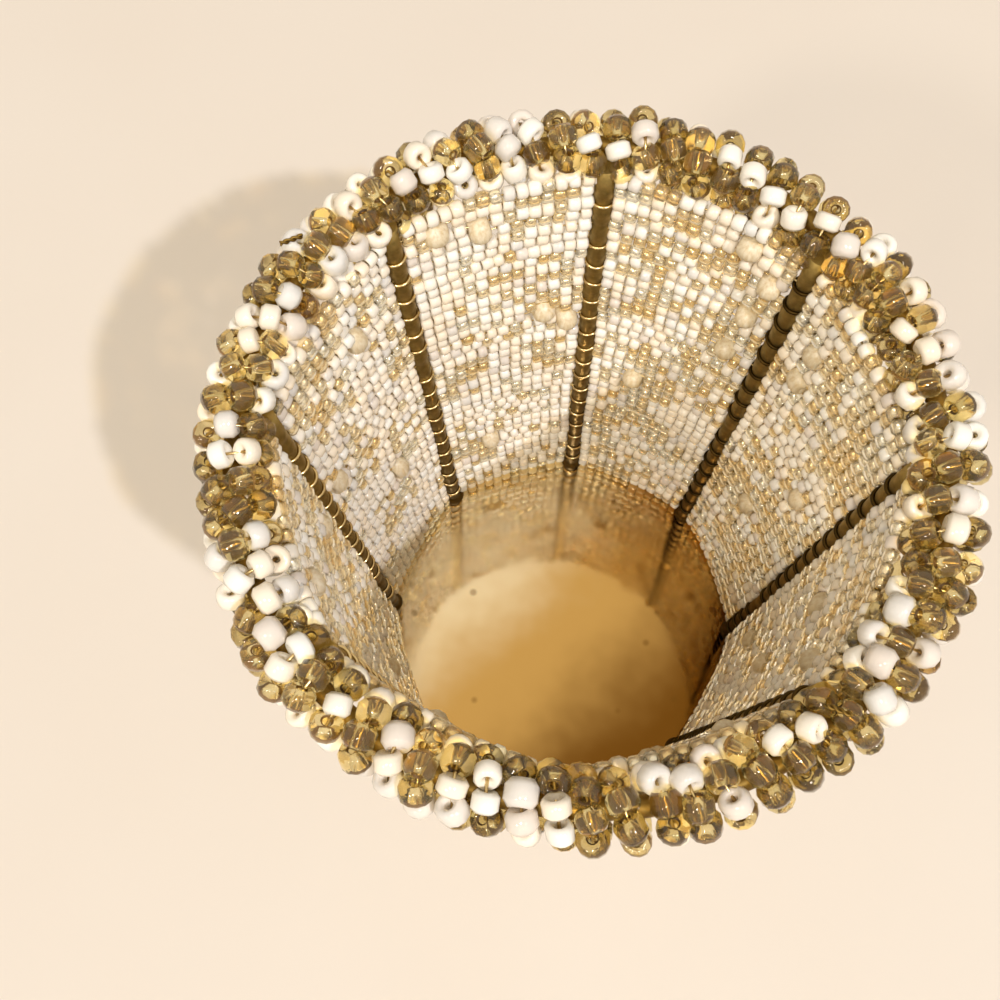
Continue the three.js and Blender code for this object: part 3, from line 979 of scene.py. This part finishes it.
def make_row_beads(number, tree, rows, marks, bead, glasses):
    """A panel's small beads, one piece for each glass. The clear ones are lined with silver."""
    white = WHITE_LOTS[number]
    opal = white + OPAL_SHARE
    lots = {"white": (-1.0, white), "opal": (white, opal), "champagne": (opal, 2.0)}
    for glass, (low, high) in lots.items():
        values = {
            **rows,
            "Rib Clearance": RIB_RADIUS + ROW_BEAD_LENGTH / 2,
            "Slide": ROW_SLIDE,
            "Bead Pitch": ROW_BEAD_LENGTH,
            "Cream Beads": marks,
            "Cream Clearance": CREAM_CLEAR,
            "Bead": bead,
            "Glass": glasses[glass],
            "Lining": glasses["lining"] if glass == "champagne" else glasses[glass],
            "Tilt": math.radians(6),
            "Spin": 2 * math.pi,
            "Smallest": (0.9, 0.9, 0.86),
            "Largest": (1.05, 1.05, 1.04),
            "From": low,
            "To": high,
            "Patch Size": 9 * MM,
            "Patch Share": 0.5,
        }
        piece = grow(f"panel_{glass}_{number}", tree, values)
        ride_root(piece, GLASS_SLOTS.get(glass, "row_glass"))
        if glass == "champagne":
            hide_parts(f"panel_{number}")


def make_cream_beads(number, tree, angle, marks, bead, cream):
    """A panel's larger beads, pressed flatter than they are wide."""
    values = {
        "Places": marks,
        "Along": (-math.sin(angle), math.cos(angle), 0.0),
        "Bead": bead,
        "Glass": cream,
        "Lining": cream,
        "Tilt": math.radians(7),
        "Spin": 0.0,
        "Smallest": (0.66, 0.84, 0.92),
        "Largest": (0.72, 1.04, 1.08),
    }
    ride_root(grow(f"panel_cream_{number}", tree, values), "cream_beads")


def make_panels(glasses, wire):
    """Each panel's rows of small beads, its cream beads and its wires."""
    outline = [(0.5, 1.0), (1.0, 0.6)]
    sizes = (ROW_BEAD, ROW_BEAD_LENGTH, ROW_BEAD_HOLE)
    small = bead_shape("row_bead", *sizes, outline, sides=10, straight=0.85)
    outline = [(0.3, 1.0), (0.7, 0.85), (1.0, 0.3)]
    sizes = (CREAM_BEAD, CREAM_BEAD_LENGTH, ROW_BEAD_HOLE)
    large = bead_shape("cream_bead", *sizes, outline, sides=16)
    bead_tree, wire_tree, cream_tree = row_bead_tree(), row_wire_tree(), cream_bead_tree()
    for number in range(1, RIBS + 1):
        angle = HALF_BAY * (2 * number - 1)
        marks = cream_marks(number, angle)
        rows = panel_rows(number, angle)
        make_row_beads(number, bead_tree, rows, marks, small, glasses)
        make_cream_beads(number, cream_tree, angle, marks, large, glasses["cream"])
        values = {**rows, "Wire": ROW_WIRE, "Metal": wire}
        ride_root(grow(f"panel_wires_{number}", wire_tree, values), "bead_wire")
        bpy.data.objects.remove(marks)
    bpy.data.objects.remove(small)
    bpy.data.objects.remove(large)


# Camera, floor and light


def make_camera():
    """The camera, aimed and then rolled."""
    forward = (CAMERA_AIM - CAMERA_PLACE).normalized()
    right = forward.cross(Vector((0, 0, 1))).normalized()
    up = right.cross(forward)
    across = right * math.cos(CAMERA_ROLL) + up * math.sin(CAMERA_ROLL)
    over = across.cross(forward)
    data = bpy.data.cameras.new("camera")
    data.lens = CAMERA_LENS
    data.clip_start = CAMERA_NEAR
    camera = bpy.data.objects.new("camera", data)
    turn = Matrix((across, over, -forward)).transposed().to_4x4()
    camera.matrix_world = Matrix.Translation(CAMERA_PLACE) @ turn
    bpy.context.scene.collection.objects.link(camera)
    bpy.context.scene.camera = camera


def make_floor(paint):
    """A wide table top, level with the foot."""
    half = TABLE_HALF
    mesh = bpy.data.meshes.new("table")
    corners = [(-half, -half, 0), (half, -half, 0), (half, half, 0), (-half, half, 0)]
    mesh.from_pydata(corners, [], [(0, 1, 2, 3)])
    mesh.materials.append(paint)
    place_in_scene("table", mesh)


def make_lamp(name, azimuth, height, width, watts, colour):
    """A round soft lamp that points at the cup's rim. Its two angles are in degrees."""
    data = bpy.data.lights.new(name, "AREA")
    data.shape = "DISK"
    data.size = width
    data.energy = watts
    data.color = linear(colour)[:3]
    lamp = bpy.data.objects.new(name, data)
    azimuth, height = math.radians(azimuth), math.radians(height)
    flat = math.cos(height)
    away = Vector((flat * math.cos(azimuth), flat * math.sin(azimuth), math.sin(height)))
    middle = Vector((0, 0, RIM_HEIGHT))
    turn = away.to_track_quat("Z", "Y").to_matrix().to_4x4()
    lamp.matrix_world = Matrix.Translation(middle + away * LAMP_DISTANCE) @ turn
    bpy.context.scene.collection.objects.link(lamp)


def make_world():
    """Soft light from all round. Camera, mirror and glass rays see it as a pale cream wall."""
    world = bpy.data.worlds.new("room")
    world.use_nodes = True
    tree = world.node_tree
    tree.nodes.clear()
    light = add(tree, "ShaderNodeBackground", {0: linear("#FFF3E2"), 1: ROOM_LIGHT})
    wall = add(tree, "ShaderNodeBackground", {0: linear("#FFF4E2"), 1: 1.0})
    path = add(tree, "ShaderNodeLightPath").node.outputs
    seen = add(tree, "ShaderNodeMath", [path["Is Camera Ray"], path["Is Glossy Ray"]], operation="ADD")
    seen = add(
        tree, "ShaderNodeMath", [seen, path["Is Transmission Ray"]], operation="ADD", use_clamp=True
    )
    both = add(tree, "ShaderNodeMixShader", [seen, light, wall])
    add(tree, "ShaderNodeOutputWorld", [both])
    bpy.context.scene.world = world


def main():
    """Makes the scene."""
    make_camera()
    glasses = {
        "topaz": smoky_topaz_glass(),
        "golden": golden_topaz_glass(),
        "mouth": painted_shade_mouth(),
        "champagne": champagne_glass(),
        "lining": silver_lining(),
        "white": white_glass(),
        "opal": opal_glass(),
        "cream": waxy_cream(),
    }
    wire = drawn_brass_wire()
    dark_bronze = scaled_bronze_and_painted_shade()
    make_frame(antique_bronze(), dark_bronze, polished_brass())
    make_wraps(wire, shade_painted_wire())
    make_rim(glasses, wire)
    make_tails(dark_bronze)
    make_panels(glasses, wire)
    make_floor(painted_table())
    for name, lamp in LAMPS.items():
        make_lamp(name, *lamp)
    make_world()
    bpy.context.scene.view_settings.view_transform = "Standard"


main()
